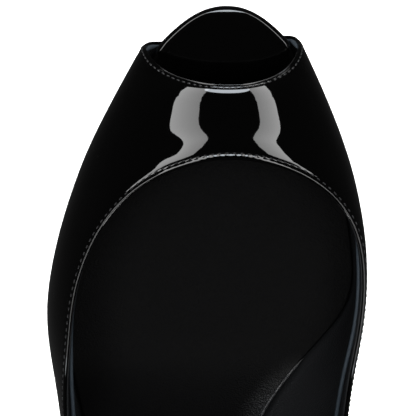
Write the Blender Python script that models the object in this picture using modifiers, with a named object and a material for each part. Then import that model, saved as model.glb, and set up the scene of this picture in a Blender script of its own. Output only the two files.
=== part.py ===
"""Peep-toe stiletto pump, left shoe, standing empty on its tread and its heel tip.

Frame: metres, +Z up, toe towards -Y, lateral (little toe) side towards +X, floor at z = 0, and the
origin under the middle of the bounding box. Named sizes are in millimetres, in the last's own
coordinates: a station is the distance back from the toe tip in plan, x is positive on the lateral side.
"""

import math

import bmesh
import bpy
import numpy as np

MM = 0.001
LATERAL, MEDIAL = 1, -1

# Driving sizes of the last
LENGTH = 203.0  # plan length, toe tip to the back of the counter
BALL_WIDTH = 81.6  # over the upper at the ball of the foot
INSTEP = 30.2  # crest of the vamp above the insole's edge, at the throat
HEEL_HEIGHT = 94.0  # floor to the underside of the seat, at its back
PER_LENGTH, PER_WIDTH, PER_INSTEP = LENGTH / 100, BALL_WIDTH / 100, INSTEP / 100

# Thicknesses
WALL = 1.2  # leather and lining of the upper
GAP = 0.3  # clearance between neighbouring pieces
SOLE = 2.4  # outsole
INSOLE_RIM = 1.8  # edge of the insole above the upper's turned-in margin
MARGIN_RISE = 2.3  # how far the margin has risen where it passes the insole's edge
MARGIN_TUCK = 3.6  # how far the margin turns in under the insole
MARGIN_ROUND = 1.0  # how far the turn reaches past the insole's edge
MARGIN_FULLNESS = 0.2  # how soon the turned wall stands upright, as a share of its rise

# Levels above the sole's lower face, measured square to it
SOLE_TOP = SOLE
INSOLE_BOTTOM = SOLE_TOP + GAP
LAST_BOTTOM = INSOLE_BOTTOM + WALL
RIM_BOTTOM = LAST_BOTTOM + MARGIN_RISE
INSOLE_TOP = RIM_BOTTOM + INSOLE_RIM

# Toe opening: stations of its edge at the crest, at the widest point and under the insole
PEEP_CREST, PEEP_SIDE, PEEP_FOOT = 9.95 * PER_LENGTH, 5.3 * PER_LENGTH, 4.6 * PER_LENGTH
TOE_LIP = 4.4 * PER_LENGTH  # ahead of this station the insole closes in a rounded tip
LIP_DROOP = 1.2  # how far that tip bends down
SQUARENESS = 0.04  # how much fuller than an ellipse the last's cross-section is
THROAT_SPAN = 0.2  # share of the topline that faces the toe opening

# Heel: the sections turn about its centre between two stations, and it stands on a small tip
HEEL_TURN_START, HEEL_TURN_END = 73.9 * PER_LENGTH, 96.6 * PER_LENGTH
HEEL_RADIUS = 33.1 * PER_WIDTH
BREAST = 74.9 * PER_LENGTH  # front face of the heel at the seat
SEAT_OVERHANG = 1.0  # rim of the seat past the insole's edge
TIP_FRONT = 88.9 * PER_LENGTH
TIP_LENGTH, TIP_WIDTH, TIP_HEIGHT, TIP_EDGE = 9.4, 9.6, 5.0, 0.5
TIP_ROUNDNESS = 0.75  # under 1 for the squared curve of a D
BREAST_HOLLOW = 5.0
TAPER_BACK, TAPER_BREAST, TAPER_SIDES = 2.4, 8.0, 7.0

# Edges of the sole and the insole, as insets from the insole's outline
SOLE_INSET = 0.2
SOLE_CHAMFER = 0.8
INSOLE_INSET = 0.4
INSOLE_EDGE = 0.7
CORE_INSET = 4.4
REBATE_START = 4.2 * PER_LENGTH
REBATE_STEP = 0.2

# Middle of the bounding box in the last's coordinates
ORIGIN_X, ORIGIN_Y = 3.89, 101.47

# Slope of the sole's lower face; stations in hundredths of the length
SOLE_SLOPE = (
    # station, degrees
    (0, -15),
    (10.8, -8),
    (22.7, 0),
    (43.3, 0),
    (47.8, 29),
    (52.2, 46),
    (59.1, 52),
    (66, 51),
    (73.9, 45.5),
    (82.8, 36),
    (91.6, 28),
    (101.5, 23),
)

# Outline of the insole each side of the spine; widths in hundredths of the ball width
FEATHER = (
    # station, spine_x, lateral, medial
    (4.4, -1.5, 19.6, 19.1),
    (6.9, -1.7, 24.6, 22.4),
    (10.8, -2.1, 30.9, 26.1),
    (14.8, -2.5, 36.3, 29.7),
    (18.7, -2.8, 41.1, 32.7),
    (22.7, -2.7, 44.7, 35.5),
    (27.1, -1.8, 47.2, 38.4),
    (31, -0.5, 48.2, 40.9),
    (35, 1.6, 47.8, 43.8),
    (38.9, 3.9, 45.8, 43),
    (42.9, 6.1, 42.9, 35.7),
    (47.3, 8.6, 38.4, 28.4),
    (51.7, 11, 32.8, 23.2),
    (56.7, 12.4, 28.4, 20.5),
    (62.1, 12.6, 26, 21.1),
    (68, 11.8, 25.7, 23.3),
    (73.9, 10.5, 27, 26.3),
    (80.8, 9.1, 29.4, 29.4),
    (88.7, 8.1, 31.4, 31.4),
    (108.4, 7.8, 32.6, 32.6),
)

# Girth of the last: widest points of its sides, and rises in hundredths of the instep
GIRTH = (
    # station, wide_lateral, wide_medial, rise_lateral, rise_medial, crest_rise
    (4.4, 24, 21.6, 23, 23, 56),
    (6.9, 27.8, 24.4, 26, 26, 66),
    (10.8, 33.6, 28.4, 30, 31, 77),
    (14.8, 39.2, 32.1, 35, 38, 89),
    (18.7, 44.4, 35.3, 40, 48, 100),
    (22.7, 47.9, 38.1, 43, 61, 109),
    (27.1, 50.6, 40.9, 46, 79, 119),
    (31, 51.8, 43.3, 48, 93, 127),
    (35, 51.5, 45.6, 51, 101, 136),
    (38.9, 50, 47.2, 56, 108, 149),
    (42.9, 46.7, 47.7, 65, 114, 169),
    (47.3, 42, 47.4, 76, 123, 205),
    (51.7, 37.5, 48.8, 93, 132, 252),
    (56.7, 34.8, 47.7, 106, 136, 291),
    (62.1, 33.3, 45.1, 109, 129, 315),
    (68, 33.1, 42.6, 103, 116, 318),
    (73.9, 33.6, 39.7, 93, 99, 315),
    (80.8, 34.3, 36.8, 83, 86, 305),
    (88.7, 35, 35.4, 73, 75, 291),
    (108.4, 35.3, 35.3, 66, 66, 255),
)

# Topline by reach along it: share of the half girth from the crest (0) to the widest point (1)
TOPLINE = (
    # reach, station, share_lateral, share_medial
    (0.0, 17.9, 0, 0),
    (0.1, 20.1, 0.245, 0.27),
    (0.2, 23.9, 0.43, 0.53),
    (0.3, 29.1, 0.545, 0.79),
    (0.4, 35.5, 0.6, 0.93),
    (0.5, 43.3, 0.65, 0.95),
    (0.6, 52.2, 0.88, 0.97),
    (0.7, 64, 0.925, 0.97),
    (0.8, 76.8, 0.86, 0.87),
    (0.87, 86.7, 0.775, 0.78),
    (0.94, 96.6, 0.712, 0.712),
    (1.0, 106.1, 0.7, 0.7),
)

# Stiffness of the battens that the curves are drawn with, and the spacing of their points
STATION_STEP, REACH_STEP = 0.25, 0.0025
SLOPE_STIFFNESS, OUTLINE_STIFFNESS, GIRTH_STIFFNESS = 2.5, 4.0, 5.5
TOPLINE_STIFFNESS = 0.04
TREAD_TOLERANCE = 0.01  # heights under this are the flat of the tread

# Mesh density
SIDE_LINES, PEEP_LINES, WALL_LEVELS = 52, 12, 14
SOLE_ROWS, INSOLE_ROWS = 42, 60
LIP_ROWS = (0.05, 0.12, 0.25, 0.55, 1.2, 2.6, 5.5, 7.5)
SEAT_ROWS, SEAT_COLUMNS, TIP_POINTS = 16, 6, 24
HEEL_LEVELS = (0.97, 0.93, 0.89, 0.84, 0.78, 0.71, 0.63, 0.54, 0.44, 0.33, 0.21, 0.1, 0)

# Finishes: name, colour, roughness
PATENT = ("patent_black", (0.006, 0.006, 0.007), 0.08)
SOCK = ("insole_black", (0.014, 0.014, 0.014), 0.55)
SOLE_FINISH = ("sole_black", (0.02, 0.019, 0.018), 0.4)
HEEL_COVER = ("heel_black", (0.006, 0.006, 0.007), 0.08)
TIP_RUBBER = ("tip_black", (0.015, 0.015, 0.015), 0.6)


class FairCurve:
    """A fair curve by a row of points: straight between them, then eased like a bent batten."""

    def __init__(self, stations, values, stiffness, step, even_start=False, even_end=True):
        self.stations = np.arange(stations[0], stations[-1] + step / 2, step)
        heights = np.interp(self.stations, stations, values)
        reach = int(4 * stiffness / step)
        spread = np.arange(-reach, reach + 1) * step
        weights = np.exp(-0.5 * (spread / stiffness) ** 2)
        before = heights[reach:0:-1]
        after = heights[-2 : -reach - 2 : -1]
        if not even_start:
            before = 2 * heights[0] - before
        if not even_end:
            after = 2 * heights[-1] - after
        drawn = np.concatenate([before, heights, after])
        self.heights = np.convolve(drawn, weights / weights.sum(), "valid")

    def __call__(self, station):
        return float(np.interp(station, self.stations, self.heights))


def section_curve(table, column, unit, stiffness):
    """A column of a table of sections as a fair curve in millimetres."""
    stations = [row[0] * PER_LENGTH for row in table]
    values = [row[column] * unit for row in table]
    return FairCurve(stations, values, stiffness, STATION_STEP)


def topline_curve(column, unit, **ends):
    """A column of the topline's table as a fair curve of the reach along it."""
    reaches = [row[0] for row in TOPLINE]
    values = [row[column] * unit for row in TOPLINE]
    return FairCurve(reaches, values, TOPLINE_STIFFNESS, REACH_STEP, **ends)


class Last:
    """The form the shoe is made on: its bottom, its outline and its girth."""

    def __init__(self):
        self.spine_x = section_curve(FEATHER, 1, PER_WIDTH, OUTLINE_STIFFNESS)
        self.feather = {
            LATERAL: section_curve(FEATHER, 2, PER_WIDTH, OUTLINE_STIFFNESS),
            MEDIAL: section_curve(FEATHER, 3, PER_WIDTH, OUTLINE_STIFFNESS),
        }
        self.wide = {
            LATERAL: section_curve(GIRTH, 1, PER_WIDTH, GIRTH_STIFFNESS),
            MEDIAL: section_curve(GIRTH, 2, PER_WIDTH, GIRTH_STIFFNESS),
        }
        self.rise = {
            LATERAL: section_curve(GIRTH, 3, PER_INSTEP, GIRTH_STIFFNESS),
            MEDIAL: section_curve(GIRTH, 4, PER_INSTEP, GIRTH_STIFFNESS),
        }
        self.crest = section_curve(GIRTH, 5, PER_INSTEP, GIRTH_STIFFNESS)
        self.lay_spine()
        self.lay_bottom()

    def lay_spine(self):
        """The line of section centres, which slows to a stop in the heel while the sections turn."""
        stations = np.arange(0, 1.2 * LENGTH, STATION_STEP)
        part = np.clip((stations - HEEL_TURN_START) / (HEEL_TURN_END - HEEL_TURN_START), 0, 1)
        turning = part * part * (3 - 2 * part)
        self.spine_stations = stations
        self.spine_y = np.cumsum((1 - turning) * STATION_STEP) - STATION_STEP
        self.spine_angle = np.cumsum(turning * STATION_STEP) / HEEL_RADIUS
        self.back = float(np.interp(math.pi / 2, self.spine_angle, stations))

    def lay_bottom(self):
        """Height and lean of the sole's lower face, from its slope, the tread at zero."""
        slope = section_curve(SOLE_SLOPE, 1, 1, SLOPE_STIFFNESS)
        steps = np.tan(np.radians(slope.heights)) * STATION_STEP
        heights = np.cumsum(steps) - steps / 2
        heights = heights - heights.min()
        seat_back = self.plan(LATERAL, self.back, self.outline(LATERAL, self.back))[1]
        behind = slope.stations > slope.stations[heights.argmin()]
        heights[behind] *= HEEL_HEIGHT / np.interp(seat_back, slope.stations, heights)
        self.bottom_y = slope.stations
        self.bottom = np.where(heights < TREAD_TOLERANCE, 0.0, heights)
        self.lean = np.arctan(np.gradient(self.bottom, STATION_STEP))

    def level(self, y, above):
        """Height at a plan distance y of a face lying this far above the sole's lower face."""
        lean = float(np.interp(y, self.bottom_y, self.lean))
        return float(np.interp(y, self.bottom_y, self.bottom)) + above / math.cos(lean)

    def outline(self, side, station):
        """Distance of the insole's edge from the spine, closing in a rounded tip at the toe."""
        if station < TOE_LIP:
            return self.feather[side](TOE_LIP) * math.sqrt(station / TOE_LIP)
        return self.feather[side](station)

    def plan(self, side, station, out):
        """Point in plan at a distance out from the spine."""
        angle = float(np.interp(station, self.spine_stations, self.spine_angle))
        x = self.spine_x(station) + side * math.cos(angle) * out
        y = float(np.interp(station, self.spine_stations, self.spine_y)) + math.sin(angle) * out
        return x, y

    def edge_point(self, side, station, inset, above):
        """Point on a face of the sole or the insole, an inset in from the insole's outline."""
        edge = self.outline(side, station)
        x, y = self.plan(side, station, edge - min(inset, 0.6 * edge))
        return x, y, self.level(y, above)

    def crown(self, side, station, share):
        """Distance out and rise of the last above its widest point: an ellipse, a little squared."""
        mix = 0.5 + 0.5 * math.sin(math.pi / 2 * side * share)
        wide = mix * self.wide[LATERAL](station) + (1 - mix) * self.wide[MEDIAL](station)
        rise = mix * self.rise[LATERAL](station) + (1 - mix) * self.rise[MEDIAL](station)
        turn = math.pi / 2 * share
        out = (1 + SQUARENESS) * math.sin(turn) + SQUARENESS * math.sin(3 * turn)
        up = (1 + SQUARENESS) * math.cos(turn) - SQUARENESS * math.cos(3 * turn)
        return wide * out, rise + (self.crest(station) - rise) * up

    def turned_wall(self, side, station, along):
        """Distance out and rise below the widest point: 0 inner end of the margin, 1 widest point."""
        edge, wide, rise = self.outline(side, station), self.wide[side](station), self.rise[side](station)
        back = 1 - along
        weights = (back**3, 3 * along * back**2, 3 * along**2 * back, along**3)
        out = np.dot(weights, (edge - MARGIN_TUCK, edge + MARGIN_ROUND, wide, wide))
        return out, np.dot(weights, (0, 0, MARGIN_FULLNESS * rise, rise))

    def wall_point(self, side, station, share):
        """Point of the last by share of its half girth: 0 crest, 1 widest point, 2 inner end of margin."""
        edge = self.outline(side, station)
        if share <= 1:
            out, up = self.crown(side, station, share)
            foot = edge
        else:
            out, up = self.turned_wall(side, station, 2 - share)
            foot = min(out, edge)
        x, y = self.plan(side, station, out)
        foot_y = self.plan(side, station, foot)[1]
        return x, y, self.level(foot_y, LAST_BOTTOM) + up


class UpperPattern:
    """The upper as a band on the last, from its lower edge to its topline."""

    def __init__(self, last):
        self.last = last
        self.top_station = topline_curve(1, PER_LENGTH, even_start=True, even_end=False)
        self.top_share = {LATERAL: topline_curve(2, 1), MEDIAL: topline_curve(3, 1)}

    def lower_edge(self, line):
        """Station and share of the lower edge: round the toe opening first, then along the insole."""
        if line > PEEP_LINES:
            along = (line - PEEP_LINES) / (SIDE_LINES - PEEP_LINES)
            return PEEP_FOOT + (self.last.back - PEEP_FOOT) * along, 2
        share = 2 * line / PEEP_LINES
        if share > 1:
            return PEEP_SIDE + (PEEP_FOOT - PEEP_SIDE) * (share - 1) ** 2, share
        drop = math.sin(math.pi / 2 * share) ** 2
        return PEEP_CREST + (PEEP_SIDE - PEEP_CREST) * drop, share

    def upper_edge(self, side, line):
        """Station and share of the topline."""
        reach = THROAT_SPAN * min(line / PEEP_LINES, 1)
        reach += (1 - THROAT_SPAN) * max(line - PEEP_LINES, 0) / (SIDE_LINES - PEEP_LINES)
        return min(self.top_station(reach), self.last.back), self.top_share[side](reach)

    def point(self, side, line, level):
        """Point of the band, level 0 at its lower edge and 1 at the topline."""
        low_station, low_share = self.lower_edge(line)
        top_station, top_share = self.upper_edge(side, line)
        station = low_station + (top_station - low_station) * level
        share = low_share + (top_share - low_share) * level
        return self.last.wall_point(side, station, share)

    def lines(self):
        """Lines of the band from the crest round the lateral side, the heel and the medial side."""
        order = [(LATERAL, line) for line in range(SIDE_LINES + 1)]
        order += [(MEDIAL, line) for line in range(SIDE_LINES - 1, 0, -1)]
        levels = [step / WALL_LEVELS for step in range(WALL_LEVELS + 1)]
        return [[self.point(side, line, level) for level in levels] for side, line in order]


def clear_scene():
    for thing in list(bpy.data.objects):
        bpy.data.objects.remove(thing)


def make_material(name, colour, roughness):
    material = bpy.data.materials.new(name)
    material.use_nodes = True
    shader = material.node_tree.nodes["Principled BSDF"]
    shader.inputs["Base Color"].default_value = (*colour, 1)
    shader.inputs["Roughness"].default_value = roughness
    return material


def make_object(name, builder, finish, collection):
    """An object from a bmesh whose points are in the last's millimetres."""
    for vertex in builder.verts:
        x, y, z = vertex.co
        vertex.co = ((x - ORIGIN_X) * MM, (y - ORIGIN_Y) * MM, z * MM)
    bmesh.ops.recalc_face_normals(builder, faces=builder.faces[:])
    mesh = bpy.data.meshes.new(name)
    builder.to_mesh(mesh)
    builder.free()
    mesh.materials.append(make_material(*finish))
    item = bpy.data.objects.new(name, mesh)
    collection.objects.link(item)
    return item


def add_row(builder, points):
    return [builder.verts.new(point) for point in points]


def join_rows(builder, near, far):
    """Quads between two open rows of vertices."""
    for left, right, far_right, far_left in zip(near, near[1:], far[1:], far):
        builder.faces.new((left, right, far_right, far_left))


def join_loops(builder, loops):
    """Quads between neighbouring closed loops of vertices."""
    for near, far in zip(loops, loops[1:]):
        join_rows(builder, near + near[:1], far + far[:1])


def loft(name, sections, finish, collection):
    """A solid through closed sections, capped at both ends."""
    builder = bmesh.new()
    loops = [add_row(builder, section) for section in sections]
    join_loops(builder, loops)
    builder.faces.new(loops[0])
    builder.faces.new(loops[-1])
    return make_object(name, builder, finish, collection)


def build_upper(last, collection):
    """Hollow upper: the band on the last, thickened outwards."""
    builder = bmesh.new()
    rows = [add_row(builder, line) for line in UpperPattern(last).lines()]
    for near, far in zip(rows, rows[1:] + rows[:1]):
        join_rows(builder, near, far)
    bmesh.ops.triangulate(builder, faces=builder.faces[:], quad_method="SHORT_EDGE")
    upper = make_object("upper", builder, PATENT, collection)
    thicken = upper.modifiers.new("wall", "SOLIDIFY")
    thicken.thickness = WALL * MM
    thicken.offset = 1
    thicken.use_even_offset = True


def across(last, station, half):
    """Closed section across the shoe from the lateral half of it, as pairs of inset and level."""
    lateral = [last.edge_point(LATERAL, station, inset, above) for inset, above in half]
    medial = [last.edge_point(MEDIAL, station, inset, above) for inset, above in reversed(half)]
    return lateral + medial


def evenly(start, end, count):
    return [start + (end - start) * step / count for step in range(count + 1)]


def build_outsole(last, collection):
    """Outsole from the toe to the heel's front face, its lower edge chamfered."""
    half = (
        (SOLE_INSET, SOLE_TOP),
        (SOLE_INSET, SOLE_CHAMFER),
        (SOLE_INSET + SOLE_CHAMFER, 0),
    )
    stations = list(LIP_ROWS) + evenly(TOE_LIP, BREAST - GAP, SOLE_ROWS)
    sections = [across(last, station, half) for station in stations]
    loft("outsole", sections, SOLE_FINISH, collection)


def insole_half(station, rebated):
    """Lateral half of the insole's section: full at the toe lip, rebated over the margin behind it."""
    top = INSOLE_TOP - LIP_DROOP * max(1 - station / REBATE_START, 0) ** 2
    rim_bottom = RIM_BOTTOM if rebated else INSOLE_BOTTOM + INSOLE_EDGE
    core_side = LAST_BOTTOM + GAP if rebated else INSOLE_BOTTOM + INSOLE_EDGE / 2
    return (
        (INSOLE_INSET + INSOLE_EDGE, top),
        (INSOLE_INSET + 0.2 * INSOLE_EDGE, top - 0.3 * INSOLE_EDGE),
        (INSOLE_INSET, top - INSOLE_EDGE),
        (INSOLE_INSET, rim_bottom),
        (CORE_INSET, core_side),
        (CORE_INSET, INSOLE_BOTTOM),
    )


def build_insole(last, collection):
    """Insole inside the upper, with its lip standing out through the toe opening."""
    sections = []
    for station in LIP_ROWS + (REBATE_START,):
        sections.append(across(last, station, insole_half(station, False)))
    for station in evenly(REBATE_START + REBATE_STEP, last.back - 1, INSOLE_ROWS):
        sections.append(across(last, station, insole_half(station, True)))
    loft("insole", sections, SOCK, collection)


def taper(height, sharpness):
    """1 at the seat, 0 at the tip, leaving the seat without a kink."""
    return height**sharpness * (1 + sharpness * (1 - height))


def tip_round(part):
    """Normalised D of the heel's tip: part 0 at its lateral front corner, 1 at its medial one."""
    turn = math.pi * part
    sideways = math.copysign(abs(math.cos(turn)) ** TIP_ROUNDNESS, math.cos(turn))
    return sideways, math.sin(turn) ** TIP_ROUNDNESS


def seat_rim(last):
    """Rim of the heel's seat: lateral side, back, medial side, then along the front face."""
    stations = evenly(BREAST, last.back, SEAT_ROWS)
    rim = [last.edge_point(LATERAL, station, -SEAT_OVERHANG, SOLE_TOP) for station in stations]
    rim += [last.edge_point(MEDIAL, station, -SEAT_OVERHANG, SOLE_TOP) for station in stations[-2::-1]]
    first, final = np.array(rim[0]), np.array(rim[-1])
    front = [tuple(final + (first - final) * step / SEAT_COLUMNS) for step in range(1, SEAT_COLUMNS)]
    return rim, front


def heel_sections(last):
    """Closed loops of the heel from its seat down to its tip."""
    rim, front = seat_rim(last)
    seat = rim + front
    centre_x = last.spine_x(last.back)
    half_seat = max(abs(point[0] - centre_x) for point in rim)
    seat_back = max(point[1] for point in rim)
    tip_shape = [tip_round(step / (len(rim) - 1)) for step in range(len(rim))]
    tip_shape += [(2 * step / SEAT_COLUMNS - 1, 0) for step in range(1, SEAT_COLUMNS)]
    foot = TIP_HEIGHT + GAP
    tip_back = TIP_FRONT + TIP_LENGTH
    sections = [seat]
    for height in HEEL_LEVELS:
        half = TIP_WIDTH / 2 + (half_seat - TIP_WIDTH / 2) * taper(height, TAPER_SIDES)
        back = tip_back + (seat_back - tip_back) * taper(height, TAPER_BACK)
        breast = TIP_FRONT - (TIP_FRONT - BREAST) * taper(height, TAPER_BREAST)
        hollow = BREAST_HOLLOW * 4 * height * (1 - height) * taper(height, TAPER_BACK)
        section = []
        for (x, y, z), (tip_sideways, tip_along) in zip(seat, tip_shape):
            sideways = height * (x - centre_x) / half_seat + (1 - height) * tip_sideways
            along = height * (y - BREAST) / (seat_back - BREAST) + (1 - height) * tip_along
            bow = hollow * (1 - along) ** 4 * (1 - min(sideways**2, 1))
            section.append(
                (
                    centre_x + half * sideways,
                    breast + (back - breast) * along + bow,
                    foot + (z - foot) * height,
                )
            )
        sections.append(section)
    return sections


def build_heel(last, collection):
    """Stiletto heel: a seat that follows the sole's slope, drawn down to a small D-shaped tip."""
    builder = bmesh.new()
    loops = [add_row(builder, section) for section in heel_sections(last)]
    join_loops(builder, loops)
    builder.faces.new(loops[-1])
    seat = loops[0]
    medial_front = 2 * SEAT_ROWS
    rows = [seat[medial_front:] + seat[:1]]
    for index in range(1, SEAT_ROWS):
        lateral, medial = seat[index], seat[medial_front - index]
        between = [medial.co.lerp(lateral.co, step / SEAT_COLUMNS) for step in range(1, SEAT_COLUMNS)]
        rows.append([medial] + add_row(builder, between) + [lateral])
    for near, far in zip(rows, rows[1:]):
        join_rows(builder, near, far)
    for left, right in zip(rows[-1], rows[-1][1:]):
        builder.faces.new((left, right, seat[SEAT_ROWS]))
    make_object("heel", builder, HEEL_COVER, collection)


def build_tip(last, collection):
    """Top piece: the small rubber block that the heel stands on."""
    centre_x = last.spine_x(last.back)
    outline = []
    for step in range(TIP_POINTS + 1):
        sideways, along = tip_round(step / TIP_POINTS)
        outline.append((centre_x + TIP_WIDTH / 2 * sideways, TIP_FRONT + TIP_LENGTH * along))
    sections = [[(x, y, z) for x, y in outline] for z in (0, TIP_HEIGHT)]
    tip = loft("heel_tip", sections, TIP_RUBBER, collection)
    edge = tip.modifiers.new("edge", "BEVEL")
    edge.width = TIP_EDGE * MM
    edge.segments = 2
    edge.limit_method = "ANGLE"


def main():
    clear_scene()
    collection = bpy.data.collections.new("stiletto_pump")
    bpy.context.scene.collection.children.link(collection)
    last = Last()
    build_upper(last, collection)
    build_insole(last, collection)
    build_outsole(last, collection)
    build_heel(last, collection)
    build_tip(last, collection)


if __name__ == "__main__":
    main()
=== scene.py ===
"""Looks of the peep-toe stiletto pump: patent upper, lining, stitching, padded insole, sole and heel.

Sizes are in millimetres in the last's own coordinates, as in the part's source: a station is the distance
back from the toe tip in plan, x is positive on the lateral side, and the floor is at z = 0.
"""

import math

import bmesh
import bpy
import numpy as np
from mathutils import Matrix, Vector

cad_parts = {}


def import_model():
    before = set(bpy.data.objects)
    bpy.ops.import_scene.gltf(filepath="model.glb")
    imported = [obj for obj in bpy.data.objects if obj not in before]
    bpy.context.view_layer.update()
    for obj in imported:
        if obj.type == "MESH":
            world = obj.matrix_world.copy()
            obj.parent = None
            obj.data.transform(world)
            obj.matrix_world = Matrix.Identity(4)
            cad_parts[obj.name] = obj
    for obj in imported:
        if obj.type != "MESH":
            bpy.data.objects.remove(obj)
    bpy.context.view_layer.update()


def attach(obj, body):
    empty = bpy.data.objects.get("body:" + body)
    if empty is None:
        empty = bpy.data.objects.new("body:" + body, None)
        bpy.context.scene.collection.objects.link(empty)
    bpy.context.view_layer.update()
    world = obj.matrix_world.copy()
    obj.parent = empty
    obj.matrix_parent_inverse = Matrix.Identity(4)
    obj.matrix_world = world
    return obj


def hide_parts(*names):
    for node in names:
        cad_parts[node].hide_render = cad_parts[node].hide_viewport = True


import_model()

MM = 0.001
UP = np.array([0.0, 0.0, 1.0])
SIDES = LATERAL, MEDIAL = 1, -1
SIDE_NAMES = {LATERAL: "lateral", MEDIAL: "medial"}
LOW, TOP = 0, 1  # the toe opening's edge and the topline, as ends of the upper's lines

# Driving sizes of the last
LENGTH, BALL_WIDTH, INSTEP, HEEL_HEIGHT = 203.0, 81.6, 30.2, 94.0
PER_LENGTH, PER_WIDTH, PER_INSTEP = LENGTH / 100, BALL_WIDTH / 100, INSTEP / 100
SPINE_LENGTH = 1.2 * LENGTH
ORIGIN = np.array([3.89, 101.47, 0.0])  # middle of the shoe's box, on the floor

# Thicknesses and levels above the sole's lower face
WALL, GAP, SOLE, INSOLE_RIM = 1.2, 0.3, 2.4, 1.8
MARGIN_RISE, MARGIN_TUCK, MARGIN_ROUND, MARGIN_FULLNESS = 2.3, 3.6, 1.0, 0.2
INSOLE_BOTTOM = SOLE + GAP
LAST_BOTTOM = INSOLE_BOTTOM + WALL
RIM_BOTTOM = LAST_BOTTOM + MARGIN_RISE
INSOLE_TOP = RIM_BOTTOM + INSOLE_RIM

# Toe opening, throat and section shape
PEEP_CREST, PEEP_SIDE = 9.95 * PER_LENGTH, 5.3 * PER_LENGTH
TOE_LIP = 4.4 * PER_LENGTH  # ahead of this station the insole closes in a rounded tip
SQUARENESS = 0.04
THROAT_SPAN = 0.2
PEEP_SHARE = 12 / 52  # share of the upper's lines that start at the toe opening

# Heel
HEEL_TURN_START, HEEL_TURN_END = 73.9 * PER_LENGTH, 96.6 * PER_LENGTH
HEEL_RADIUS = 33.1 * PER_WIDTH
BREAST = 74.9 * PER_LENGTH
SEAT_OVERHANG = 1.0
TIP_FRONT = 88.9 * PER_LENGTH
TIP_LENGTH, TIP_WIDTH, TIP_HEIGHT = 9.4, 9.6, 5.0
TIP_ROUNDNESS = 0.75
BREAST_HOLLOW = 5.0
TAPER_BACK, TAPER_BREAST, TAPER_SIDES = 2.4, 8.0, 7.0
HEEL_EDGE, TIP_EDGE, SHARP_ANGLE = 0.5, 0.5, math.radians(40)

# Sole, lip, sock and piping
SOLE_INSET = 0.2
SOLE_TUCK, SOLE_SQUARE = 1.3, 4.0  # its run under the heel, and the stretch before it that turns square
SOLE_EDGE = (
    # depth, above
    (1.6, 0),
    (0.8, 0.12),
    (0.25, 0.5),
    (0.05, 0.9),
    (0, 1.4),
    (0, SOLE - 0.3),
    (0.25, SOLE),
)
INSOLE_INSET, CORE_INSET = 0.4, 4.4
HEART_MARGIN = 4.0  # how far from a plate's ends the line lies that its faces close to
LIP_END = 27.0  # station where the patent lip gives way to the sock, out of sight under the vamp
LIP_SAG, LIP_SAG_END = 0.4, 22.0
LIP_DROOP, LIP_DROOP_END = 2.6, 7.0
LIP_REACH, LIP_REACH_END = 0.2, 6.0  # how far the lip's rim stands out at its tip, and where that ends
LIP_REBATE, LIP_FOOT = 2.8 * PER_LENGTH, 0.6  # station where its underside draws in, and its least inset
LIP_ROLL, SOCK_ROLL = (1.15, 1.9), (0.6, 0.8)  # width and height of their rounded edges
SHAPED_LEVEL = INSOLE_TOP - LIP_ROLL[1]  # from here up an edge follows the shape of the top
SOCK_CROWN, CROWN_SHARE = 0.5, 0.5
ARCH, ARCH_SIDE = (84.0, 96.0), (4.0, -6.0)  # y and x over which the sock's edge falls at the arch
ARCH_FALL, ARCH_SHARE = 0.25, 0.45
POLISH_WIDTH, POLISH_RANGE = 8.0, (88.0, 104.0)
PIPING_START = {LATERAL: 112.0, MEDIAL: 90.0}
PIPING_INSET, PIPING_SUNK = 0.15, 0.5
PIPING_RADIUS, PIPING_TAPER = 0.4, 4.0
BEAD_END = 0.02  # share of a bead's taper that is missing at its ends

# Slope of the sole's lower face; stations in hundredths of the length
SOLE_SLOPE = (
    # station, degrees
    (0, -15),
    (10.8, -8),
    (22.7, 0),
    (43.3, 0),
    (47.8, 29),
    (52.2, 46),
    (59.1, 52),
    (66, 51),
    (73.9, 45.5),
    (82.8, 36),
    (91.6, 28),
    (101.5, 23),
)

# Outline of the insole each side of the spine; widths in hundredths of the ball width
FEATHER = (
    # station, spine_x, lateral, medial
    (4.4, -1.5, 20.3, 19.5),
    (6.9, -1.7, 25.7, 23.5),
    (10.8, -2.1, 30.9, 26.1),
    (14.8, -2.5, 36.3, 29.7),
    (18.7, -2.8, 41.1, 32.7),
    (22.7, -2.7, 44.7, 35.5),
    (27.1, -1.8, 47.2, 38.4),
    (31, -0.5, 48.2, 40.9),
    (35, 1.6, 47.8, 43.8),
    (38.9, 3.9, 45.8, 43),
    (42.9, 6.1, 42.9, 35.7),
    (47.3, 8.6, 38.4, 28.4),
    (51.7, 11, 32.8, 23.2),
    (56.7, 12.4, 28.4, 20.5),
    (62.1, 12.6, 26, 21.1),
    (68, 11.8, 25.7, 23.3),
    (73.9, 10.5, 27, 26.3),
    (80.8, 9.1, 29.4, 29.4),
    (88.7, 8.1, 31.4, 31.4),
    (108.4, 7.8, 32.6, 32.6),
)

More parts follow.
